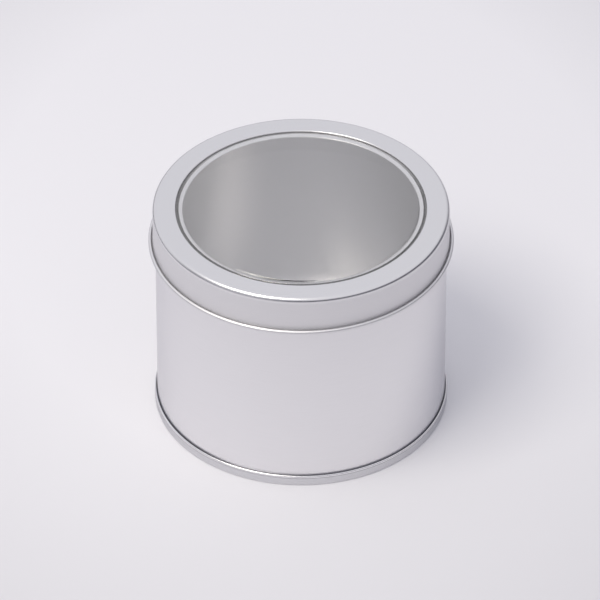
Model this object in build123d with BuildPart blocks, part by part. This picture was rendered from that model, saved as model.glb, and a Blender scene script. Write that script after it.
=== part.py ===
from build123d import *
import os
from math import cos, degrees, radians, sin, sqrt

os.makedirs("parts", exist_ok=True)

# A round slip-lid tin with a clear window in its lid. All sizes are in millimetres. Z is the
# tin's axis, and the origin is the centre of the ring on which the base stands.

# Driving dimensions
overall_height = 59.94
body_diameter = 73.61  # outside of the side wall
lid_height = 10.56  # from the lid's top down to the foot of its curl
lid_border = 5.79  # from the skirt's outside in to the edge of the lid's opening
window_border = 1.86  # of the window's ring, as far as it shows inside the opening
seam_height = 2.9  # of the folded seam round the base
sheet = 0.20  # tinplate of every metal piece
film = 0.20  # clear film of the window

# Clearances
pressed_gap = 0.02  # between layers of tinplate that are pressed flat on each other
slip_gap = 0.40  # between the side wall and the lid's skirt
seat_gap = 0.10  # between the rim and the lid that rests on it
ring_gap = 0.03  # between the window's ring and the bend inside the lid's shoulder
hook_gap = 0.30  # between the end of the base's hook and the fold below it

# Folds: one layer lies a pitch from the next, and a hem is the sheet folded flat on itself
half_sheet = sheet / 2
pitch = sheet + pressed_gap
hem_thickness = sheet + pitch

# Heights in the lid, from the top down: the hemmed edge, the film, its ring and the rim below
window_top = overall_height - hem_thickness
window_bottom = window_top - film
ring_line = window_bottom - half_sheet
rim_top = window_bottom - sheet - seat_gap

# Radii of the base seam's layers, from the inside out
body_radius = body_diameter / 2
wall_line = body_radius - half_sheet
base_wall_line = wall_line - pitch
base_hook_line = wall_line + pitch
wall_hook_line = wall_line + 2 * pitch
seam_wall_line = wall_line + 3 * pitch

# Heights of the base seam's two folds
wall_fold_height = 2 * pitch + half_sheet
seam_fold_height = seam_height - half_sheet - pitch


def outline_sheet(start, heading, moves, thickness=sheet):
    """Draw the outline of a sheet whose middle line leaves a point and follows the moves.

    A move is a straight run and the bend after it, as a length, a radius to the middle line
    and degrees, which are positive to the left.
    """
    ends = []
    for side in (thickness / 2, -thickness / 2):
        ahead = Vector(*heading)
        point = Vector(*start) + ahead.rotate(Axis.Z, 90) * side
        ends.append(point)
        for run, radius, turn in moves:
            if run:
                point = Line(point, point + ahead * run) @ 1
            if turn:
                face_radius = radius - side if turn > 0 else radius + side
                bend = JernArc(start=point, tangent=ahead, radius=face_radius, arc_size=turn)
                point = bend @ 1
                ahead = ahead.rotate(Axis.Z, turn)
        ends.append(point)
    left_start, left_end, right_start, right_end = ends
    Line(left_start, right_start)
    Line(left_end, right_end)


# The side wall is a rolled strip. It starts in the base seam as a hook, folds round below and
# rises to a rim that is curled inward.
rim_curl = 0.55  # radius, to the middle of the sheet
rim_curl_turn = 300  # degrees
rim_curl_height = rim_top - half_sheet - rim_curl
lap_width = 1.2  # overlap of the strip's two ends, which are welded at the left
lap_gap = 0.80  # from the lap to the base and to the curl, where the strip is notched
panel_height = 3.0  # recess under the base, inside its seam
lap_inside = body_radius - 2 * sheet
lap_foot = panel_height + sheet + lap_gap
lap_head = rim_curl_height - rim_curl - half_sheet - lap_gap
lap_angle = degrees(lap_width / lap_inside)

with BuildPart() as body_wall:
    with BuildSketch(Plane.XZ):
        with BuildLine():
            outline_sheet(
                start=(wall_hook_line, seam_fold_height),
                heading=(0, -1),
                moves=(
                    (seam_fold_height - wall_fold_height, pitch, -180),
                    (rim_curl_height - wall_fold_height, rim_curl, rim_curl_turn),
                ),
            )
        make_face()
    revolve(axis=Axis.Z)
    # Along the weld, the strip's inner end is a second layer.
    with BuildSketch(Plane.XZ.rotated((0, 0, 180 - lap_angle / 2))):
        with Locations(((lap_inside + wall_line) / 2, (lap_foot + lap_head) / 2)):
            Rectangle(wall_line - lap_inside, lap_head - lap_foot)
    revolve(axis=Axis.Z, revolution_arc=lap_angle)
body_wall.part.label = "body_wall"


# The base is a recessed panel with a raised middle. Its edge goes down inside the side wall,
# passes under the wall's fold, rises outside the hook and is folded in behind it.
panel_bend = 0.60  # radius of the bend from the panel down into the seam
panel_line = panel_height + half_sheet
step_inset = 5.0  # from the seam's inner wall to the step of the raised middle
step_bend = 0.80  # radius of the step's two bends
step_turn = 45  # degrees
step_width = 2 * step_bend * sin(radians(step_turn))
step_rise = 2 * step_bend * (1 - cos(radians(step_turn)))
foot_width = 0.40  # of the flat ring on which the tin stands
seam_bend = (seam_wall_line - base_wall_line - foot_width) / 2
foot_bend_top = half_sheet + seam_bend
floor_height = panel_height + sheet + step_rise

with BuildPart() as base_end:
    with BuildSketch(Plane.XZ):
        with BuildLine():
            outline_sheet(
                start=(0, panel_line + step_rise),
                heading=(1, 0),
                moves=(
                    (base_wall_line - step_inset - step_width, step_bend, -step_turn),
                    (0, step_bend, step_turn),
                    (step_inset - panel_bend, panel_bend, -90),
                    (panel_line - panel_bend - foot_bend_top, seam_bend, 90),
                    (foot_width, seam_bend, 90),
                    (seam_fold_height - foot_bend_top, pitch, 180),
                    (seam_fold_height - wall_fold_height - hook_gap, 0, 0),
                ),
            )
        make_face()
    revolve(axis=Axis.Z)
base_end.part.label = "base_end"


# The lid's sheet runs from its hem round the edge of the opening, across the top, over the
# shoulder and down the skirt, which flares out gently into a curl with a flattened outside.
shoulder_radius = 1.05  # of the bend's outside
hem_share = 0.6  # of the lid's flat border, which its hem backs from below
flare_bend = 4.4  # radius of the flare, to the middle of the sheet
flare_turn = 25  # degrees
lid_curl = 0.374  # radius, to the middle of the sheet
lid_curl_run = 0.17  # of the curl's flattened outside
lid_curl_turn = 290  # degrees
lid_radius = body_radius + slip_gap + sheet
skirt_line = lid_radius - half_sheet
shoulder_bend = shoulder_radius - half_sheet
hem_width = hem_share * (lid_border - shoulder_radius)
fold_depth = half_sheet + pitch / 2
opening_fold = lid_radius - lid_border + fold_depth
lid_line = overall_height - half_sheet
lid_curl_height = overall_height - lid_height + half_sheet + lid_curl
flare_top = lid_curl_height + (flare_bend - lid_curl) * sin(radians(flare_turn))

with BuildPart() as lid_shell:
    with BuildSketch(Plane.XZ):
        with BuildLine():
            outline_sheet(
                start=(opening_fold + hem_width, lid_line - pitch),
                heading=(-1, 0),
                moves=(
                    (hem_width, pitch / 2, -180),
                    (skirt_line - shoulder_bend - opening_fold, shoulder_bend, -90),
                    (lid_line - shoulder_bend - flare_top, flare_bend, flare_turn),
                    (0, lid_curl, 180 - flare_turn),
                    (lid_curl_run, lid_curl, lid_curl_turn - 180),
                ),
            )
        make_face()
    revolve(axis=Axis.Z)
lid_shell.part.label = "lid_shell"


# The window's ring clamps the film against the lid's hem. Its outer edge is pressed into the
# bend inside the shoulder. Beside the hem a joggle brings it up level with the lid's top, and
# from there it slopes down inward to an inner edge that is hemmed like the opening's.
bend_centre_radius = skirt_line - shoulder_bend
bend_centre_height = overall_height - shoulder_radius
ring_reach = shoulder_radius - sheet - ring_gap - half_sheet
ring_rise = max(ring_line - bend_centre_height, 0)
ring_edge = bend_centre_radius + sqrt(ring_reach**2 - ring_rise**2)
border_fold = opening_fold - window_border
ring_slope = 15  # degrees
joggle_turn = 70  # degrees
joggle_top_bend = 0.20  # radius, to the middle of the sheet
joggle_foot_bend = 0.36  # radius, to the middle of the sheet
joggle_gap = 0.34  # from the edge of the opening in to the joggle's foot
hem_setback = 0.10  # from the top of the slope to the end of the ring's hem
slope_x = cos(radians(ring_slope))
slope_z = sin(radians(ring_slope))
joggle_x = cos(radians(joggle_turn))
joggle_z = sin(radians(joggle_turn))
flange_start = lid_radius - lid_border - joggle_gap
joggle_rise = joggle_foot_bend * (1 - joggle_x) + joggle_top_bend * (slope_x - joggle_x)
joggle_width = joggle_foot_bend * joggle_z + joggle_top_bend * (slope_z + joggle_z)
slope_start = border_fold - slope_z * pitch / 2
slope_run = (flange_start - joggle_width - slope_start) / slope_x
slope_foot = ring_line + joggle_rise - slope_run * slope_z
ring_hem = slope_run - hem_setback

with BuildPart() as window_ring:
    with BuildSketch(Plane.XZ):
        with BuildLine():
            outline_sheet(
                start=(
                    slope_start + slope_z * pitch + slope_x * ring_hem,
                    slope_foot - slope_x * pitch + slope_z * ring_hem,
                ),
                heading=(-slope_x, -slope_z),
                moves=(
                    (ring_hem, pitch / 2, -180),
                    (slope_run, joggle_top_bend, -ring_slope - joggle_turn),
                    (0, joggle_foot_bend, joggle_turn),
                    (ring_edge - flange_start, 0, 0),
                ),
            )
        make_face()
    revolve(axis=Axis.Z)
window_ring.part.label = "window_ring"


# The window is pressed from clear film, and lies on the ring all the way. Its flange is
# clamped between the hem and the ring, it follows the joggle and the slope, and at the ring's
# inner edge a riser leads up to its raised middle.
film_margin = 0.50  # from the film's edge to the ring's
window_recess = 0.03  # from the lid's top down to the raised middle
riser_bend = 0.20  # radius of the riser's two bends, to the middle of the film
riser_turn = 43  # degrees
film_lift = half_sheet + film / 2  # from the middle of the ring's sheet to the film's
film_slope_start = slope_start - slope_z * film_lift
film_slope_foot = slope_foot + slope_x * film_lift
window_line = overall_height - window_recess - film / 2
riser_x = cos(radians(riser_turn))
riser_z = sin(radians(riser_turn))
bends_rise = riser_bend * (1 + slope_x - 2 * riser_x)
riser_length = (window_line - film_slope_foot - bends_rise) / riser_z
riser_width = riser_bend * (2 * riser_z + slope_z) + riser_length * riser_x
window_radius = ring_edge - film_margin

with BuildPart() as lid_window:
    with BuildSketch(Plane.XZ):
        with BuildLine():
            outline_sheet(
                start=(0, window_line),
                heading=(1, 0),
                moves=(
                    (film_slope_start - riser_width, riser_bend, -riser_turn),
                    (riser_length, riser_bend, riser_turn + ring_slope),
                    (slope_run, joggle_top_bend + film_lift, -ring_slope - joggle_turn),
                    (0, joggle_foot_bend - film_lift, joggle_turn),
                    (window_radius - flange_start, 0, 0),
                ),
                thickness=film,
            )
        make_face()
    revolve(axis=Axis.Z)
lid_window.part.label = "lid_window"


for piece in (body_wall, base_end, lid_shell, window_ring, lid_window):
    export_step(piece.part, f"parts/{piece.part.label}.step")
    size = piece.part.bounding_box().size
    print(f"{piece.part.label}: {size.X:.2f} x {size.Y:.2f} x {size.Z:.2f} mm")
print(f"base seam, outside diameter: {2 * (seam_wall_line + half_sheet):.2f} mm")
print(f"floor to window: {window_bottom - floor_height:.2f} mm")
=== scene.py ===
# %% [markdown]
# # A round tinplate tin with a window in its lid
# The real object is a small slip-lid tin: a rolled wall, a base folded onto it, and a lid
# whose opening holds a ring and a sheet of clear film. Everything on it but the film is the
# same bright sheet, 0.2 mm thick, so the picture is made by bends: each fold, curl and
# corner is a thin line that mirrors another part of the room.
#
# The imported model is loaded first, because it fixes every size. Then each pressed piece is
# formed again with fine, smooth bends in the same place.

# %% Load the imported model
from math import atan2, ceil, copysign, cos, pi, radians, sin, sqrt

import bmesh
import bpy
from mathutils import Matrix, Vector


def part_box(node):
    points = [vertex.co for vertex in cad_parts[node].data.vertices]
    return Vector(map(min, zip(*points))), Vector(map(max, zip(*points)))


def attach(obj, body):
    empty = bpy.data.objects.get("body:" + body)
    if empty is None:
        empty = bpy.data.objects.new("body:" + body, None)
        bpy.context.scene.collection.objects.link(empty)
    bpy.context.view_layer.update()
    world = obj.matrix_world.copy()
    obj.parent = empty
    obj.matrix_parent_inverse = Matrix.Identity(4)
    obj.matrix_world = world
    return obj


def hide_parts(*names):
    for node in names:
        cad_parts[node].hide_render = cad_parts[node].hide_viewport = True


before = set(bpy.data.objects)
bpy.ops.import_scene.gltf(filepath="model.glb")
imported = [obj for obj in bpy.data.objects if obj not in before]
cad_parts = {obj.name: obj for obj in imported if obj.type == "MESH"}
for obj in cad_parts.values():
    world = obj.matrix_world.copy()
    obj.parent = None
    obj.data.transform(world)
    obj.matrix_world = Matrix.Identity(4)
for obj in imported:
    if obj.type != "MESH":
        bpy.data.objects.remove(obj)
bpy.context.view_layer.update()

# %% [markdown]
# ## How a pressed sheet is drawn
# A tin is made of sheet that keeps its thickness wherever it goes, so a section through it
# is a line of straight runs and round bends. It could be drawn as an outline with two
# faces, but then each bend has to be worked out twice. Here only the sheet's middle line is
# laid, run by run, and a Solidify modifier gives it the thickness at the end.

# %% Sizes that the pieces share, in millimetres
MM = 0.001
OVERALL_HEIGHT = 59.94
BODY_RADIUS = 73.61 / 2
SHEET = 0.20
FILM = 0.20
LAYER_GAP = 0.02  # between two pressed layers
SKIRT_GAP = 0.40  # between the wall and the lid's skirt
PITCH = SHEET + LAYER_GAP  # from one pressed layer to the next
HALF_SHEET = SHEET / 2
WALL_LINE = BODY_RADIUS - HALF_SHEET
LID_RADIUS = BODY_RADIUS + SKIRT_GAP + SHEET
FOLD_DEPTH = HALF_SHEET + PITCH / 2
WINDOW_TOP = OVERALL_HEIGHT - SHEET - PITCH
WINDOW_BOTTOM = WINDOW_TOP - FILM
print(f"window between {WINDOW_BOTTOM:.2f} and {WINDOW_TOP:.2f} mm")

# %% Lay a section from runs and bends
OUT, UP, IN, DOWN = 0, 90, 180, 270  # headings in the section, in degrees
BEND_STEP = 12  # degrees of bend for each edge
FEWEST_EDGES = 3  # in any bend
RUN_TIP = 0.06  # mm of each run, at both ends, that keeps a flat from taking a bend's shading


def lay_section(bm, start, heading, moves):
    """Lay a middle line at +X. A move is a run, the radius of the bend after it and its turn."""
    first = tip = bm.verts.new(Vector((start[0], 0, start[1])) * MM)
    for run, bend, turn in moves:
        ahead = Vector((cos(radians(heading)), 0, sin(radians(heading))))
        edge = min(RUN_TIP, run / 4)
        for length in (edge, run - 2 * edge, edge) if run else ():
            tip = bmesh.ops.extrude_vert_indiv(bm, verts=[tip])["verts"][0]
            bmesh.ops.translate(bm, verts=[tip], vec=ahead * length * MM)
        if turn:
            left = Vector((-ahead.z, 0, ahead.x))
            centre = tip.co + left * copysign(bend, turn) * MM
            spun = bmesh.ops.spin(
                bm,
                geom=[tip],
                cent=centre,
                axis=(0, -copysign(1, turn), 0),
                angle=radians(abs(turn)),
                steps=max(FEWEST_EDGES, ceil(abs(turn) / BEND_STEP)),
            )
            tip = next(part for part in spun["geom_last"] if isinstance(part, bmesh.types.BMVert))
            heading += turn
    return first


print(f"a square corner has {ceil(90 / BEND_STEP)} edges")

# %% [markdown]
# ## Turning a section, and keeping the flat sheet in mind
# Spin turns the section round the tin's axis. The steel came off a roll, so it has fine
# straight lines along it, and pressing carries those lines down over every corner. Object
# coordinates would cut them off at each corner. So each point also keeps its place on the
# flat sheet that the piece was made from: across a round blank for what is pressed, and
# along a strip for the rolled wall. That is the piece's UV map, in metres, and the grain is
# drawn on it.

# %% Keep each point's place on the flat sheet
FLAT_MAP = "flat_sheet"
ALONG = "along"


def start_section():
    """An empty mesh whose points can keep their distance along the sheet."""
    bm = bmesh.new()
    bm.verts.layers.float.new(ALONG)
    return bm


def measure_section(bm, first, offset=0):
    """Write each point's distance along the sheet into the mesh, from its first point."""
    along = bm.verts.layers.float[ALONG]
    point, came_by, distance = first, None, offset * MM
    while True:
        point[along] = distance
        ways = [edge for edge in point.link_edges if edge is not came_by]
        if not ways:
            return
        came_by = ways[0]
        distance += came_by.calc_length()
        point = came_by.other_vert(point)


def map_flat(bm, strip_radius=None):
    """Map each face to its place on the flat sheet: a strip of that radius, or a round blank."""
    along = bm.verts.layers.float[ALONG]
    flat = bm.loops.layers.uv.new(FLAT_MAP)
    for face in bm.faces:
        middle = face.calc_center_median()
        middle_angle = atan2(middle.y, middle.x)
        for loop in face.loops:
            place = loop.vert.co
            angle = atan2(place.y, place.x)
            if abs(angle - middle_angle) > pi:
                angle += copysign(2 * pi, middle_angle)
            distance = loop.vert[along]
            if strip_radius:
                loop[flat].uv = (angle * strip_radius * MM, distance)
            else:
                loop[flat].uv = (distance * cos(angle), distance * sin(angle))


print(f"the wall's strip is {2 * pi * WALL_LINE:.1f} mm long without its lap")

# %% Turn a section into a piece
AROUND = 240  # steps round the tin
MERGE_DISTANCE = 1e-7  # metres between points that a spin leaves in one place


def spin_section(bm, steps=AROUND, angle=2 * pi):
    """Turn everything in the mesh round the tin's axis."""
    bmesh.ops.spin(
        bm,
        geom=bm.verts[:] + bm.edges[:],
        cent=(0, 0, 0),
        axis=(0, 0, 1),
        angle=angle,
        steps=steps,
        use_merge=angle == 2 * pi,
    )
    bmesh.ops.remove_doubles(bm, verts=bm.verts[:], dist=MERGE_DISTANCE)
    bmesh.ops.recalc_face_normals(bm, faces=bm.faces[:])


def finish_piece(bm, name, thickness, body, node):
    """Make the object, give its sheet thickness, and set it in the frame in place of a node."""
    mesh = bpy.data.meshes.new(name)
    bm.to_mesh(mesh)
    bm.free()
    mesh.shade_smooth()
    piece = bpy.data.objects.new(name, mesh)
    bpy.context.scene.collection.objects.link(piece)
    sheet = piece.modifiers.new("sheet", "SOLIDIFY")
    sheet.thickness = thickness * MM
    sheet.offset = 0
    sheet.use_even_offset = True
    sheet.use_quality_normals = True
    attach(piece, body)
    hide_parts(node)
    reach = max(vert.co.x for vert in mesh.vertices) / MM
    node_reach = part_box(node)[1].x / MM
    print(f"{name}: {len(mesh.polygons)} faces on its middle line, "
          f"to {reach:.2f} mm out; the node reaches {node_reach:.2f} mm")
    return piece


print(f"{AROUND} steps round, {2 * pi * BODY_RADIUS / AROUND:.2f} mm each")

# %% [markdown]
# ## The rolled wall
# The wall is a strip rolled round and welded at the left. Its foot is hooked outward into
# the base seam, and its rim is curled inward so that no raw edge meets a finger. A plain
# tube would do while the lid is on, but with the lid off the curl shows, so the whole
# section is turned. At the weld the strip's inner end is a second layer, which is its own
# narrow patch of the same sheet.

# %% Make the wall
SEAM_HEIGHT = 2.9
WALL_FOLD_HEIGHT = 2 * PITCH + HALF_SHEET
SEAM_FOLD_HEIGHT = SEAM_HEIGHT - HALF_SHEET - PITCH
RIM_GAP = 0.10  # under the ring
RIM_CURL = 0.55
RIM_CURL_TURN = 300
RIM_TOP = WINDOW_BOTTOM - SHEET - RIM_GAP
RIM_CURL_HEIGHT = RIM_TOP - HALF_SHEET - RIM_CURL

bm = start_section()
first = lay_section(bm, (WALL_LINE + 2 * PITCH, SEAM_FOLD_HEIGHT), DOWN, (
    (SEAM_FOLD_HEIGHT - WALL_FOLD_HEIGHT, PITCH, -180),
    (RIM_CURL_HEIGHT - WALL_FOLD_HEIGHT, RIM_CURL, RIM_CURL_TURN),
))
measure_section(bm, first)
spin_section(bm)
print(f"rim at {RIM_TOP:.2f} mm")

# %% Add the weld's lap
LAP_WIDTH = 1.2
LAP_LINE = BODY_RADIUS - SHEET - HALF_SHEET
LAP_FOOT = 4.00
LAP_STOP = 0.80  # below the rim's curl
LAP_STEPS = 4  # across its width
LAP_HEAD = RIM_CURL_HEIGHT - RIM_CURL - HALF_SHEET - LAP_STOP

lap = start_section()
first = lay_section(lap, (LAP_LINE, LAP_FOOT), UP, ((LAP_HEAD - LAP_FOOT, 0, 0),))
measure_section(lap, first, LAP_FOOT)
lap_angle = LAP_WIDTH / LAP_LINE
bmesh.ops.rotate(lap, verts=lap.verts[:], cent=(0, 0, 0),
                 matrix=Matrix.Rotation(pi - lap_angle / 2, 3, "Z"))
spin_section(lap, steps=LAP_STEPS, angle=lap_angle)
lap_mesh = bpy.data.meshes.new("lap")
lap.to_mesh(lap_mesh)
lap.free()
bm.from_mesh(lap_mesh)
bpy.data.meshes.remove(lap_mesh)
map_flat(bm, strip_radius=WALL_LINE)
wall = finish_piece(bm, "rolled_wall", SHEET, "tin", "body_wall")

# %% [markdown]
# ## The pressed base
# The base is one pressing. Its middle is raised a little, which stiffens it, and its edge
# goes down inside the wall, passes under it, comes up outside the wall's hook and is folded
# in behind it: five layers of sheet, rolled flat against each other. The tin stands on the
# lowest bend. A disc with a ring round it would be simpler, but the folded sheet gives the
# seam's round edges and the thin gap above it by itself.

# %% Make the base
PANEL_HEIGHT = 3.0
PANEL_LINE = PANEL_HEIGHT + HALF_SHEET
PANEL_BEND = 0.60
STEP_INSET = 5.0
STEP_BEND = 0.80
STEP_TURN = 45
STEP_WIDTH = 2 * STEP_BEND * sin(radians(STEP_TURN))
STEP_RISE = 2 * STEP_BEND * (1 - cos(radians(STEP_TURN)))
BASE_WALL_LINE = WALL_LINE - PITCH
FOOT_WIDTH = 0.40
SEAM_BEND = (4 * PITCH - FOOT_WIDTH) / 2
FOOT_BEND_TOP = HALF_SHEET + SEAM_BEND
SEAM_FACE = SEAM_FOLD_HEIGHT - FOOT_BEND_TOP
HOOK_GAP = 0.30  # between the end of the base's hook and the fold below it

bm = start_section()
first = lay_section(bm, (0, PANEL_LINE + STEP_RISE), OUT, (
    (BASE_WALL_LINE - STEP_INSET - STEP_WIDTH, STEP_BEND, -STEP_TURN),
    (0, STEP_BEND, STEP_TURN),
    (STEP_INSET - PANEL_BEND, PANEL_BEND, -90),
    (PANEL_LINE - PANEL_BEND - FOOT_BEND_TOP, SEAM_BEND, 90),
    (FOOT_WIDTH, SEAM_BEND, 90),
    (SEAM_FACE, PITCH, 180),
    (SEAM_FOLD_HEIGHT - WALL_FOLD_HEIGHT - HOOK_GAP, 0, 0),
))
measure_section(bm, first)
spin_section(bm)
map_flat(bm)
SEAM_TOP = (BASE_WALL_LINE - STEP_WIDTH - PANEL_BEND + 2 * STEP_BEND * radians(STEP_TURN)
            + PANEL_BEND * pi / 2 + PANEL_LINE - PANEL_BEND - FOOT_BEND_TOP + SEAM_BEND * pi
            + FOOT_WIDTH + SEAM_FACE)
print(f"the seam's outer face ends {SEAM_TOP:.2f} mm along the sheet")
base = finish_piece(bm, "pressed_base", SHEET, "tin", "base_end")

# %% [markdown]
# ## The pressed lid
# The lid's sheet starts as a hem under the edge of the opening, runs across the border,
# over the shoulder and down the skirt. Near its foot the skirt flares out by 25 degrees and
# ends in a curl, pressed a little flat, that stands out as a bead. A straight skirt could
# end in the same bead, but it wouldn't show the soft dark line above it. The shoulder and
# the bead catch the lamp, so they have enough steps to stay round.

# %% Make the lid
LID_HEIGHT = 10.56
LID_BORDER = 5.79
SHOULDER_RADIUS = 1.05
SHOULDER = SHOULDER_RADIUS - HALF_SHEET
LID_CURL = 0.374
LID_CURL_TURN = 290
LID_CURL_RUN = 0.17
FLARE_BEND = 4.4
FLARE_TURN = 25
SKIRT_LINE = LID_RADIUS - HALF_SHEET
LID_LINE = OVERALL_HEIGHT - HALF_SHEET
HEM_SHARE = 0.6  # of the border's flat part
HEM_WIDTH = HEM_SHARE * (LID_BORDER - SHOULDER_RADIUS)
HEM_BEND = pi * PITCH / 2
OPENING_FOLD = LID_RADIUS - LID_BORDER + FOLD_DEPTH
LID_CURL_HEIGHT = OVERALL_HEIGHT - LID_HEIGHT + HALF_SHEET + LID_CURL
FLARE_TOP = LID_CURL_HEIGHT + (FLARE_BEND - LID_CURL) * sin(radians(FLARE_TURN))

bm = start_section()
first = lay_section(bm, (OPENING_FOLD + HEM_WIDTH, LID_LINE - PITCH), IN, (
    (HEM_WIDTH, PITCH / 2, -180),
    (SKIRT_LINE - SHOULDER - OPENING_FOLD, SHOULDER, -90),
    (LID_LINE - SHOULDER - FLARE_TOP, FLARE_BEND, FLARE_TURN),
    (0, LID_CURL, 180 - FLARE_TURN),
    (LID_CURL_RUN, LID_CURL, LID_CURL_TURN - 180),
))
measure_section(bm, first, OPENING_FOLD - HEM_BEND - HEM_WIDTH)
spin_section(bm)
map_flat(bm)
lid = finish_piece(bm, "pressed_lid", SHEET, "lid", "lid_shell")

# %% [markdown]
# ## The window's ring
# A pressed ring under the film holds it against the lid's hem. From its flat flange the
# ring steps up inside the opening, which centres it, and then slopes down to a hemmed inner
# edge. The step leaves a narrow groove beside the hem. A dark band of painted shade lies in
# it, thinner at the back, and shows as the dark line round the window. The line could be
# drawn on a flat ring, but a real groove is partly hidden behind the near side of the hem
# and open along the far side, wherever the tin is seen from.

# %% Work out the ring's step and slope
RING_LINE = WINDOW_BOTTOM - HALF_SHEET
RING_SHOWN = 1.86  # across the part that shows inside the hem
BORDER_FOLD = OPENING_FOLD - RING_SHOWN
SHOULDER_CENTRE = SKIRT_LINE - SHOULDER
SHOULDER_GAP = 0.03  # between the ring's edge and the bend in the lid's shoulder
RING_REACH = SHOULDER_RADIUS - SHEET - SHOULDER_GAP - HALF_SHEET
RING_RISE = max(RING_LINE - (OVERALL_HEIGHT - SHOULDER_RADIUS), 0)
RING_EDGE = SHOULDER_CENTRE + sqrt(RING_REACH**2 - RING_RISE**2)
RING_SLOPE = 15
JOGGLE_TURN = 70
JOGGLE_TOP_BEND = 0.20
JOGGLE_FOOT_BEND = 0.36
JOGGLE_GAP = 0.34  # from the lid's hem in to the film on the joggle, about
slope_x, slope_z = cos(radians(RING_SLOPE)), sin(radians(RING_SLOPE))
joggle_x, joggle_z = cos(radians(JOGGLE_TURN)), sin(radians(JOGGLE_TURN))
FLANGE_START = LID_RADIUS - LID_BORDER - JOGGLE_GAP
JOGGLE_RISE = JOGGLE_FOOT_BEND * (1 - joggle_x) + JOGGLE_TOP_BEND * (slope_x - joggle_x)
JOGGLE_WIDTH = JOGGLE_FOOT_BEND * joggle_z + JOGGLE_TOP_BEND * (slope_z + joggle_z)
SLOPE_START = BORDER_FOLD - slope_z * PITCH / 2
SLOPE_RUN = (FLANGE_START - JOGGLE_WIDTH - SLOPE_START) / slope_x
SLOPE_FOOT = RING_LINE + JOGGLE_RISE - SLOPE_RUN * slope_z
HEM_STOP = 0.10  # from the slope's top
RING_HEM = SLOPE_RUN - HEM_STOP
print(f"the ring's slope is {SLOPE_RUN:.2f} mm and its step {JOGGLE_RISE:.2f} mm high")

# %% Make the ring
bm = start_section()
first = lay_section(
    bm,
    (SLOPE_START + slope_z * PITCH + slope_x * RING_HEM,
     SLOPE_FOOT - slope_x * PITCH + slope_z * RING_HEM),
    IN + RING_SLOPE,
    (
        (RING_HEM, PITCH / 2, -180),
        (SLOPE_RUN, JOGGLE_TOP_BEND, -RING_SLOPE - JOGGLE_TURN),
        (0, JOGGLE_FOOT_BEND, JOGGLE_TURN),
        (RING_EDGE - FLANGE_START, 0, 0),
    ),
)
measure_section(bm, first, BORDER_FOLD - HEM_BEND - RING_HEM)
spin_section(bm)
map_flat(bm)
ring = finish_piece(bm, "pressed_ring", SHEET, "lid", "window_ring")

# %% [markdown]
# ## The formed window
# The window is a thin sheet of clear film, warmed and pressed. Its flat flange is caught
# between the hem and the ring, and from there it lies on the ring's step and slope. Inside
# the ring a short riser lifts its middle level with the lid's top, and gives the window its
# pale edge, which a flat disc wouldn't have. It is drawn as a real sheet with two faces, a
# hundredth of a millimetre clear of the steel on both sides.

# %% Make the window
LIFT = HALF_SHEET + FILM / 2  # from the ring's middle line to the film's
FILM_SLOPE_START = (SLOPE_START - slope_z * LIFT, SLOPE_FOOT + slope_x * LIFT)
WINDOW_SINK = 0.03  # below the lid's top
WINDOW_LINE = OVERALL_HEIGHT - WINDOW_SINK - FILM / 2
RISER_BEND = 0.20
RISER_TURN = 43
riser_x, riser_z = cos(radians(RISER_TURN)), sin(radians(RISER_TURN))
RISER_BEND_RISE = RISER_BEND * (1 + slope_x - 2 * riser_x)
RISER_LENGTH = (WINDOW_LINE - FILM_SLOPE_START[1] - RISER_BEND_RISE) / riser_z
RISER_WIDTH = RISER_BEND * (2 * riser_z + slope_z) + RISER_LENGTH * riser_x
EDGE_INSET = 0.50  # of the film inside the ring's edge
WINDOW_RADIUS = RING_EDGE - EDGE_INSET
FACE_GAP = 0.01  # between the film and the steel, on both sides

bm = start_section()
first = lay_section(bm, (0, WINDOW_LINE), OUT, (
    (FILM_SLOPE_START[0] - RISER_WIDTH, RISER_BEND, -RISER_TURN),
    (RISER_LENGTH, RISER_BEND, RISER_TURN + RING_SLOPE),
    (SLOPE_RUN, JOGGLE_TOP_BEND + LIFT, -RING_SLOPE - JOGGLE_TURN),
    (0, JOGGLE_FOOT_BEND - LIFT, JOGGLE_TURN),
    (WINDOW_RADIUS - FLANGE_START, 0, 0),
))
measure_section(bm, first)
spin_section(bm)
map_flat(bm)
window = finish_piece(bm, "formed_window", FILM - 2 * FACE_GAP, "lid", "lid_window")


# %% [markdown]
# ## Colours and nodes
# Colours are written as they are picked on a screen, in sRGB, and one function turns them
# to the linear values that shaders work in. One more function adds a node with its settings
# and its links, so that a material reads from top to bottom.

# %% Helpers for materials
def linear(hex_colour):
    """An sRGB hex colour as linear RGBA."""
    shares = [int(hex_colour[i:i + 2], 16) / 255 for i in (1, 3, 5)]
    return [c / 12.92 if c <= 0.04045 else ((c + 0.055) / 1.055) ** 2.4 for c in shares] + [1]


def add_node(tree, kind, settings=None, inputs=None):
    """Add a node. Inputs go by name, or by number where they share one, and take a value or
    another node's output."""
    node = tree.nodes.new(kind)
    for name, value in (settings or {}).items():
        setattr(node, name, value)
    for name, value in (inputs or {}).items():
        if isinstance(value, bpy.types.NodeSocket):
            tree.links.new(value, node.inputs[name])
        else:
            node.inputs[name].default_value = value
    return node


def new_material(name):
    """An empty material and its node tree."""
    material = bpy.data.materials.new(name)
    material.use_nodes = True
    material.node_tree.nodes.clear()
    return material, material.node_tree


print(f"the middle grey of a screen is {linear('#808080')[0]:.3f} in linear light")
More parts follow.
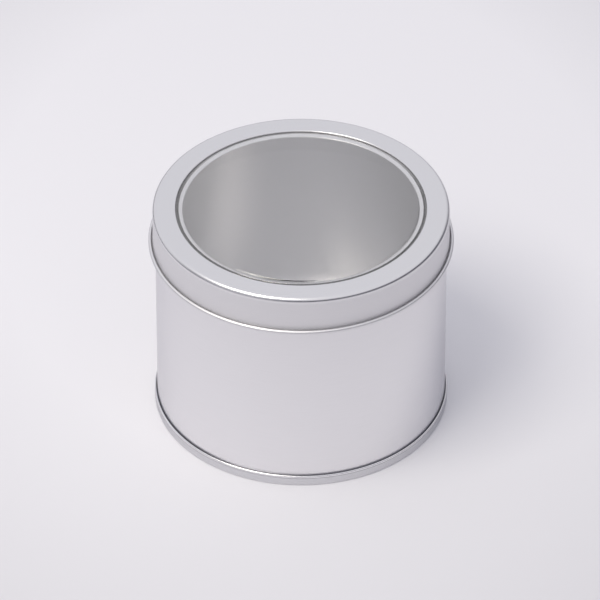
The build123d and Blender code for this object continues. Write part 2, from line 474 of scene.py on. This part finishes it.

# %% [markdown]
# ## Satin tinplate
# Tinplate is cold-rolled steel with a flow-brightened coat of tin about a thousandth of a
# millimetre thick. The tin is a clean, slightly cool silver that gives back about four
# fifths of the light, and the steel under it keeps the grind of the mill's rolls: hair-fine
# lines along the roll, which spread each reflection into a satin band. At a low slant a
# metal mirrors less than all of the light, and Specular Tint says how much. An anisotropic
# shader could stretch the reflections too, but lines in the roughness and the bump also
# show as lines from close by.
#
# Each piece has its own finish of that sheet, because each was formed in its own way. The
# wall has a brown tint from the heat beside its weld, and upright rub marks where the lid
# slides. The base carries bands of painted shade on its seam and in the crease above it. The
# lid's skirt is duller than its top, because it was drawn over a die. The ring carries a line of
# painted shade in its groove.

# %% Bands round a pressed piece
BACK_COVER = 0.05  # what is left of a thinning band at the back


def add_shade_bands(tree, tone, reach, place, bands, thin):
    """Bands of painted shade round the blank. Each has two distances from its middle, in mm,
    and a colour. With thin, they fade between two places from front to back, in mm."""
    cover = 1
    if thin:
        across = add_node(tree, "ShaderNodeSeparateXYZ", inputs={"Vector": place})
        cover = add_node(tree, "ShaderNodeMapRange", {"interpolation_type": "SMOOTHSTEP"}, {
            "Value": across.outputs["Y"], "From Min": thin[0] * MM, "From Max": thin[1] * MM,
            "To Min": 1, "To Max": BACK_COVER}).outputs["Result"]
    for start, end, colour in bands:
        inside = add_node(tree, "ShaderNodeMath", {"operation": "COMPARE"}, {
            0: reach, 1: (start + end) / 2 * MM, 2: (end - start) / 2 * MM})
        covered = add_node(tree, "ShaderNodeMath", {"operation": "MULTIPLY"}, {
            0: inside.outputs["Value"], 1: cover})
        tone = add_node(tree, "ShaderNodeMix", {"data_type": "RGBA"}, {
            "Factor": covered.outputs["Value"], "A": tone.outputs["Result"],
            "B": linear(colour)})
    return tone


# %% Heat and rubbing on the wall
WELD_TINT = (2.4, 0.4)  # mm from the weld: where the tint begins, and where it is full
WELD_SHARE = 0.45
SCUFF_WIDTH = 0.35  # mm
SCUFF_LENGTH = 7  # mm
SCUFF_FADE = 1.5  # mm, at the lower ends
SCUFF_SHARE = 0.22


def add_weld_tint(tree, tone, strip, weld):
    """Brown the strip towards its two ends, which meet at the weld, that far from its middle."""
    aside = add_node(tree, "ShaderNodeMath", {"operation": "ABSOLUTE"}, {0: strip.outputs["X"]})
    heated = add_node(tree, "ShaderNodeMapRange", {"interpolation_type": "SMOOTHSTEP"}, {
        "Value": aside.outputs["Value"], "From Min": (weld - WELD_TINT[0]) * MM,
        "From Max": (weld - WELD_TINT[1]) * MM, "To Min": 0, "To Max": WELD_SHARE})
    return add_node(tree, "ShaderNodeMix", {"data_type": "RGBA"}, {
        "Factor": heated.outputs["Result"], "A": tone.outputs["Result"],
        "B": linear("#B9AB96")})


def add_scuffs(tree, tone, flat, strip, rubbed):
    """Streak the strip across its width, from that height up."""
    streaks = add_node(tree, "ShaderNodeMapping", inputs={
        "Vector": flat, "Scale": (1 / (SCUFF_WIDTH * MM), 1 / (SCUFF_LENGTH * MM), 1)})
    streak = add_node(tree, "ShaderNodeTexNoise", inputs={
        "Vector": streaks.outputs["Vector"], "Scale": 1, "Detail": 3, "Roughness": 0.7})
    reached = add_node(tree, "ShaderNodeMapRange", {"interpolation_type": "SMOOTHSTEP"}, {
        "Value": strip.outputs["Y"], "From Min": (rubbed - SCUFF_FADE) * MM,
        "From Max": rubbed * MM, "To Min": 0, "To Max": SCUFF_SHARE})
    scuff = add_node(tree, "ShaderNodeMath", {"operation": "MULTIPLY"}, {
        0: streak.outputs["Fac"], 1: reached.outputs["Result"]})
    return add_node(tree, "ShaderNodeMix", {"data_type": "RGBA"}, {
        "Factor": scuff.outputs["Value"], "A": tone.outputs["Result"], "B": linear("#A9A8AA")})


# %% Make the tinplate
# Real grain lines are a tenth of this wide, too fine to show, so they are drawn as coarse as
# the picture can hold.
GRAIN_WIDTH = 0.22  # mm
GRAIN_LENGTH = 9  # mm
MARK_SIZE = 9  # mm across a faint mark of handling
MARK_LOSS = 0.01  # of gloss, more or less, in a mark
DRAWN_FROM, DRAWN_TO = 37.7, 38.6  # mm from the blank's middle, at the top of the skirt


def satin_tinplate(name, gloss_loss, drawn_loss=0, bands=(), thin=None, weld=None, rubbed=None):
    """Rolled tinplate, with its grain along the flat sheet's first direction. gloss_loss is
    its roughness, and drawn_loss is what drawing adds to it past the shoulder. The rest are
    for the bands of painted shade, the tint beside the weld and the scuffs."""
    material, tree = new_material(name)
    flat = add_node(tree, "ShaderNodeUVMap", {"uv_map": FLAT_MAP}).outputs["UV"]
    place = add_node(tree, "ShaderNodeTexCoord").outputs["Object"]
    strip = add_node(tree, "ShaderNodeSeparateXYZ", inputs={"Vector": flat})
    reach = add_node(tree, "ShaderNodeVectorMath", {"operation": "LENGTH"}, {"Vector": flat})
    lines = add_node(tree, "ShaderNodeMapping", inputs={
        "Vector": flat, "Scale": (1 / (GRAIN_LENGTH * MM), 1 / (GRAIN_WIDTH * MM), 1)})
    grain = add_node(tree, "ShaderNodeTexNoise", inputs={
        "Vector": lines.outputs["Vector"], "Scale": 1, "Detail": 2, "Roughness": 0.6})
    tone = add_node(tree, "ShaderNodeMix", {"data_type": "RGBA"}, {
        "Factor": grain.outputs["Fac"], "A": linear("#EAE9EB"), "B": linear("#EFEEF0")})
    tone = add_shade_bands(tree, tone, reach.outputs["Value"], place, bands, thin)
    if weld:
        tone = add_weld_tint(tree, tone, strip, weld)
    if rubbed:
        tone = add_scuffs(tree, tone, flat, strip, rubbed)
    marks = add_node(tree, "ShaderNodeTexNoise", inputs={
        "Vector": place, "Scale": 1 / (MARK_SIZE * MM), "Detail": 3, "Roughness": 0.55})
    worn = add_node(tree, "ShaderNodeMapRange", inputs={
        "Value": marks.outputs["Fac"], "From Min": 0.3, "From Max": 0.7,
        "To Min": gloss_loss - MARK_LOSS, "To Max": gloss_loss + MARK_LOSS})
    drawn = add_node(tree, "ShaderNodeMapRange", {"interpolation_type": "SMOOTHSTEP"}, {
        "Value": reach.outputs["Value"], "From Min": DRAWN_FROM * MM, "From Max": DRAWN_TO * MM,
        "To Min": 0, "To Max": drawn_loss})
    even = add_node(tree, "ShaderNodeMath", {"operation": "ADD"}, {
        0: worn.outputs["Result"], 1: drawn.outputs["Result"]})
    roughness = add_node(tree, "ShaderNodeMath", {"operation": "MULTIPLY_ADD"}, {
        0: grain.outputs["Fac"], 1: 0.03, 2: even.outputs["Value"]})
    bump = add_node(tree, "ShaderNodeBump", inputs={
        "Height": grain.outputs["Fac"], "Strength": 0.04, "Distance": 0.002 * MM})
    surface = add_node(tree, "ShaderNodeBsdfPrincipled", inputs={
        "Base Color": tone.outputs["Result"], "Metallic": 1.0,
        "Specular Tint": linear("#E6E6E8"), "Roughness": roughness.outputs["Value"],
        "Normal": bump.outputs["Normal"]})
    add_node(tree, "ShaderNodeOutputMaterial", inputs={"Surface": surface.outputs["BSDF"]})
    return material


# %% Finish the steel pieces
TOP_ARC = JOGGLE_TOP_BEND * radians(RING_SLOPE + JOGGLE_TURN)
FOOT_ARC = JOGGLE_FOOT_BEND * radians(JOGGLE_TURN)
SHADE_RUN = 0.45  # mm of the flange that the painted shade covers
RING_CREASE_SHADE = (BORDER_FOLD + SLOPE_RUN + TOP_ARC / 4,
               BORDER_FOLD + SLOPE_RUN + TOP_ARC + FOOT_ARC + SHADE_RUN)
# Bands of painted shade on the base's seam and in the crease above it.
SEAM_SHADE_BANDS = (
    (SEAM_TOP - SEAM_FACE, SEAM_TOP - 0.46, "#D6D6D9"),  # painted shade over the seam's face, where it mirrors the shaded table at its foot
    (SEAM_TOP - 0.46, SEAM_TOP - 0.20, "#B8B8BC"),  # a darker line of painted shade across the seam's face
    (SEAM_TOP + 0.30, SEAM_TOP + 0.80, "#909096"),  # painted shade in the crease of the fold, going in behind
)

rolled = satin_tinplate("rolled_tinplate", 0.29, weld=pi * WALL_LINE, rubbed=53)
pressed = satin_tinplate("pressed_tinplate", 0.23, bands=SEAM_SHADE_BANDS)
drawn = satin_tinplate("drawn_tinplate", 0.24, drawn_loss=0.22)
# The ring's groove carries a band of painted shade, thinning from the front to the back.
groove_shaded = satin_tinplate("groove_shaded_tinplate", 0.28, bands=((*RING_CREASE_SHADE, "#1E1E24"),), thin=(6, 24))
for piece, finish in ((wall, rolled), (base, pressed), (lid, drawn), (ring, groove_shaded)):
    piece.data.materials.append(finish)
    print(finish.name, "on", piece.name)

# %% [markdown]
# ## Clear film
# The window is clear PET, cast flat and formed warm. Each of its faces mirrors about a
# fifteenth of the light at this slant and passes the rest. A glass shader would bend the
# light and need many samples to let the lamp into the tin. Film this thin hardly bends
# anything, so a mix of see-through and gloss is used. The share of gloss follows the slant
# by a fifth power, which is the same from both sides of the face. About a tenth of the rest
# is scattered by each face, and makes the pale veil over the tin's inside. At the front a
# near-black band of painted shade lies along the riser.

# %% Paint shade along the riser
RISER_START = FILM_SLOPE_START[0] - RISER_WIDTH + RISER_BEND * radians(RISER_TURN)
RISER_SHADE_FROM, RISER_SHADE_TO = RISER_START + 0.15 * RISER_LENGTH, RISER_START + 1.10 * RISER_LENGTH
RISER_SHADE_PLACE = (-4.0, -29.3, WINDOW_LINE)
RISER_SHADE_FULL, RISER_SHADE_END = 2.5, 9  # mm from its place


def riser_shade_share(tree, place):
    """How much of the film takes the painted shade: on the riser's line, and near its place."""
    flat = add_node(tree, "ShaderNodeUVMap", {"uv_map": FLAT_MAP})
    reach = add_node(tree, "ShaderNodeVectorMath", {"operation": "LENGTH"}, {
        "Vector": flat.outputs["UV"]})
    on_line = add_node(tree, "ShaderNodeMath", {"operation": "COMPARE"}, {
        0: reach.outputs["Value"], 1: (RISER_SHADE_FROM + RISER_SHADE_TO) / 2 * MM,
        2: (RISER_SHADE_TO - RISER_SHADE_FROM) / 2 * MM})
    away = add_node(tree, "ShaderNodeVectorMath", {"operation": "DISTANCE"}, {
        0: place, 1: Vector(RISER_SHADE_PLACE) * MM})
    near = add_node(tree, "ShaderNodeMapRange", {"interpolation_type": "SMOOTHSTEP"}, {
        "Value": away.outputs["Value"], "From Min": RISER_SHADE_FULL * MM, "From Max": RISER_SHADE_END * MM,
        "To Min": 1, "To Max": 0})
    riser_shade_mask = add_node(tree, "ShaderNodeMath", {"operation": "MULTIPLY"}, {
        0: on_line.outputs["Value"], 1: near.outputs["Result"]})
    return riser_shade_mask.outputs["Value"]


print(f"the riser is {RISER_LENGTH:.2f} mm long, from {RISER_START:.2f} mm along the film")

# %% Make the film
HAZE_SIZE = 12  # mm across a patch of the faint haze from forming
LEAST_GLOSS = 0.06  # share of the light that a face mirrors when seen straight on
VEIL_SHARE = 0.095


def clear_film(name):
    """Thin clear film: see-through, with gloss that grows towards a glancing view."""
    material, tree = new_material(name)
    place = add_node(tree, "ShaderNodeTexCoord").outputs["Object"]
    haze = add_node(tree, "ShaderNodeTexNoise", inputs={
        "Vector": place, "Scale": 1 / (HAZE_SIZE * MM), "Detail": 2})
    roughness = add_node(tree, "ShaderNodeMapRange", inputs={
        "Value": haze.outputs["Fac"], "To Min": 0.09, "To Max": 0.13})
    bump = add_node(tree, "ShaderNodeBump", inputs={
        "Height": haze.outputs["Fac"], "Strength": 0.2, "Distance": 0.02 * MM})
    slant = add_node(tree, "ShaderNodeLayerWeight", inputs={"Blend": 0.5})
    rise = add_node(tree, "ShaderNodeMath", {"operation": "POWER"}, {
        0: slant.outputs["Facing"], 1: 5})
    share = add_node(tree, "ShaderNodeMath", {"operation": "MULTIPLY_ADD"}, {
        0: rise.outputs["Value"], 1: 1 - LEAST_GLOSS, 2: LEAST_GLOSS})
    clear = add_node(tree, "ShaderNodeBsdfTransparent", inputs={"Color": linear("#FDFDFD")})
    veil = add_node(tree, "ShaderNodeBsdfDiffuse", inputs={"Color": linear("#F2F2F4")})
    through = add_node(tree, "ShaderNodeMixShader", inputs={
        "Fac": VEIL_SHARE, 1: clear.outputs["BSDF"], 2: veil.outputs["BSDF"]})
    # Painted shade: a near-black face along the riser at the front.
    painted_shade = add_node(tree, "ShaderNodeBsdfDiffuse", inputs={"Color": linear("#0C0C10")})
    behind_face = add_node(tree, "ShaderNodeMixShader", inputs={
        "Fac": riser_shade_share(tree, place), 1: through.outputs["Shader"],
        2: painted_shade.outputs["BSDF"]})
    gloss = add_node(tree, "ShaderNodeBsdfGlossy", inputs={
        "Color": linear("#FFFFFF"), "Roughness": roughness.outputs["Result"],
        "Normal": bump.outputs["Normal"]})
    surface = add_node(tree, "ShaderNodeMixShader", inputs={
        "Fac": share.outputs["Value"], 1: behind_face.outputs["Shader"],
        2: gloss.outputs["BSDF"]})
    add_node(tree, "ShaderNodeOutputMaterial", inputs={"Surface": surface.outputs["Shader"]})
    return material


film = clear_film("clear_film")
window.data.materials.append(film)
print(film.name, "on", window.name)

# %% [markdown]
# ## The camera
# The tin is seen from 38.6 degrees above the table with a long lens from 1.85 m away, so its
# circles are nearly true ellipses. The lens and the place were worked out from how those
# ellipses lie on each other, which is surer than moving the camera by eye.

# %% Place the camera
IMAGE_WIDTH = 600  # pixels, which the next two lines are measured in
FOCAL_LENGTH = 7208.338
SHIFT = (-1.087, 0.5)
SENSOR_WIDTH = 36  # mm
LOOK_DOWN = 38.575  # degrees

camera_data = bpy.data.cameras.new("camera")
camera_data.sensor_width = SENSOR_WIDTH
camera_data.lens = FOCAL_LENGTH / IMAGE_WIDTH * SENSOR_WIDTH
camera_data.shift_x = SHIFT[0] / IMAGE_WIDTH
camera_data.shift_y = SHIFT[1] / IMAGE_WIDTH
camera = bpy.data.objects.new("camera", camera_data)
camera.location = (0, -1.431269, 1.171415)
camera.rotation_euler = (radians(90 - LOOK_DOWN), 0, 0)
bpy.context.scene.collection.objects.link(camera)
bpy.context.scene.camera = camera
print(f"camera {camera.location.length:.2f} m away, lens {camera_data.lens:.0f} mm")

# %% [markdown]
# ## The table and the light
# Satin metal shows the room more than itself, so the room is most of the picture. The table
# is matt laminate, too rough to mirror the tin. Its colour carries a painted pool of light:
# pale round the tin and grey further out, and both are mirrored in the wall and the skirt. One
# soft box stands high at the front left, and its size sets how soft the shadow is. The ceiling
# is pale and gives the flat lid its even tone. The room is also pale behind the tin, most of
# all towards the left, and in a narrow part at the front left. The rest of it is dark, which
# draws the thin dark line along each bend. Cards round the tin could do the same, but a tone
# that follows only the direction puts nothing between the tin and a camera on another side.

# %% Make the table
TABLE_RADIUS = 3  # metres
PAINTED_POOL_SHIFT = (0, -0.075, 0)  # the middle of the painted pool of light lies as far the other way, behind
PAINTED_POOL_SQUEEZE = (1.3, 1, 1)
PAINTED_POOL_FROM, PAINTED_POOL_TO = 0.105, 0.56  # metres from its middle, where it begins to fade and ends

floor_mesh = bmesh.new()
bmesh.ops.create_circle(floor_mesh, cap_ends=True, segments=96, radius=TABLE_RADIUS)
mesh = bpy.data.meshes.new("table")
floor_mesh.to_mesh(mesh)
floor_mesh.free()
table = bpy.data.objects.new("table", mesh)
bpy.context.scene.collection.objects.link(table)
material, tree = new_material("matt_table")
place = add_node(tree, "ShaderNodeTexCoord").outputs["Object"]
from_painted_pool = add_node(tree, "ShaderNodeMapping", {"vector_type": "POINT"}, {
    "Vector": place, "Location": PAINTED_POOL_SHIFT, "Scale": PAINTED_POOL_SQUEEZE})
reach = add_node(tree, "ShaderNodeVectorMath", {"operation": "LENGTH"}, {
    "Vector": from_painted_pool.outputs["Vector"]})
fade = add_node(tree, "ShaderNodeMapRange", inputs={
    "Value": reach.outputs["Value"], "From Min": PAINTED_POOL_FROM, "From Max": PAINTED_POOL_TO})
# Painted pool of light: the table's colour is pale near the tin and grey far away.
tone = add_node(tree, "ShaderNodeMix", {"data_type": "RGBA"}, {
    "Factor": fade.outputs["Result"], "A": linear("#ECEBF0"), "B": linear("#5C5B63")})
surface = add_node(tree, "ShaderNodeBsdfPrincipled", inputs={
    "Base Color": tone.outputs["Result"], "Roughness": 0.85, "Specular IOR Level": 0.2})
add_node(tree, "ShaderNodeOutputMaterial", inputs={"Surface": surface.outputs["BSDF"]})
table.data.materials.append(material)
print(f"{table.name}: {2 * TABLE_RADIUS} m across, {material.name}")

# %% Hang the soft box
KEY_SIDE = 51  # degrees left of the front
KEY_HEIGHT = 62  # degrees above the table
KEY_DISTANCE = 1.0
KEY_SIZE = (0.50, 0.46)
KEY_POWER = 4.1  # watts
KEY_TARGET = (0, 0, 0.03)  # the middle of the tin

key_data = bpy.data.lights.new("soft_box", "AREA")
key_data.shape = "RECTANGLE"
key_data.size, key_data.size_y = KEY_SIZE
key_data.color = linear("#FFFAEE")[:3]
key_data.energy = KEY_POWER
key = bpy.data.objects.new("soft_box", key_data)
level = cos(radians(KEY_HEIGHT)) * KEY_DISTANCE
key.location = (-sin(radians(KEY_SIDE)) * level, -cos(radians(KEY_SIDE)) * level,
                sin(radians(KEY_HEIGHT)) * KEY_DISTANCE)
key.rotation_euler = (key.location - Vector(KEY_TARGET)).to_track_quat("Z", "Y").to_euler()
bpy.context.scene.collection.objects.link(key)
print(f"{key.name} at {[round(c, 2) for c in key.location]} m")

# %% Tone the room
CEILING_FROM, CEILING_TO = 0.22, 0.58  # how far up a direction points, as a sine
PALE_SIDES = (  # a direction, the cosines where the pale part begins and is full, its share
    ((-0.45, 0.89, 0), 0.0, 0.75, 1.0),
    ((-0.72, -0.68, 0.12), 0.75, 0.98, 0.7),
)

world = bpy.data.worlds.new("room")
bpy.context.scene.world = world
world.use_nodes = True
tree = world.node_tree
tree.nodes.clear()
toward = add_node(tree, "ShaderNodeTexCoord").outputs["Generated"]
axes = add_node(tree, "ShaderNodeSeparateXYZ", inputs={"Vector": toward})
above = add_node(tree, "ShaderNodeMapRange", {"interpolation_type": "SMOOTHSTEP"}, {
    "Value": axes.outputs["Z"], "From Min": CEILING_FROM, "From Max": CEILING_TO})
pale = above.outputs["Result"]
for side, start, full, share in PALE_SIDES:
    turned = add_node(tree, "ShaderNodeVectorMath", {"operation": "DOT_PRODUCT"}, {
        0: toward, 1: side})
    beside = add_node(tree, "ShaderNodeMapRange", {"interpolation_type": "SMOOTHSTEP"}, {
        "Value": turned.outputs["Value"], "From Min": start, "From Max": full,
        "To Min": 0, "To Max": share})
    pale = add_node(tree, "ShaderNodeMath", {"operation": "MAXIMUM"}, {
        0: pale, 1: beside.outputs["Result"]}).outputs["Value"]
tone = add_node(tree, "ShaderNodeMix", {"data_type": "RGBA"}, {
    "Factor": pale, "A": linear("#5C5C66"), "B": linear("#DFDFE4")})
glow = add_node(tree, "ShaderNodeBackground", inputs={
    "Color": tone.outputs["Result"], "Strength": 1.0})
add_node(tree, "ShaderNodeOutputWorld", inputs={"Surface": glow.outputs["Background"]})
bpy.context.scene.view_settings.view_transform = "Standard"
print(f"{world.name}: a pale ceiling and {len(PALE_SIDES)} pale sides")
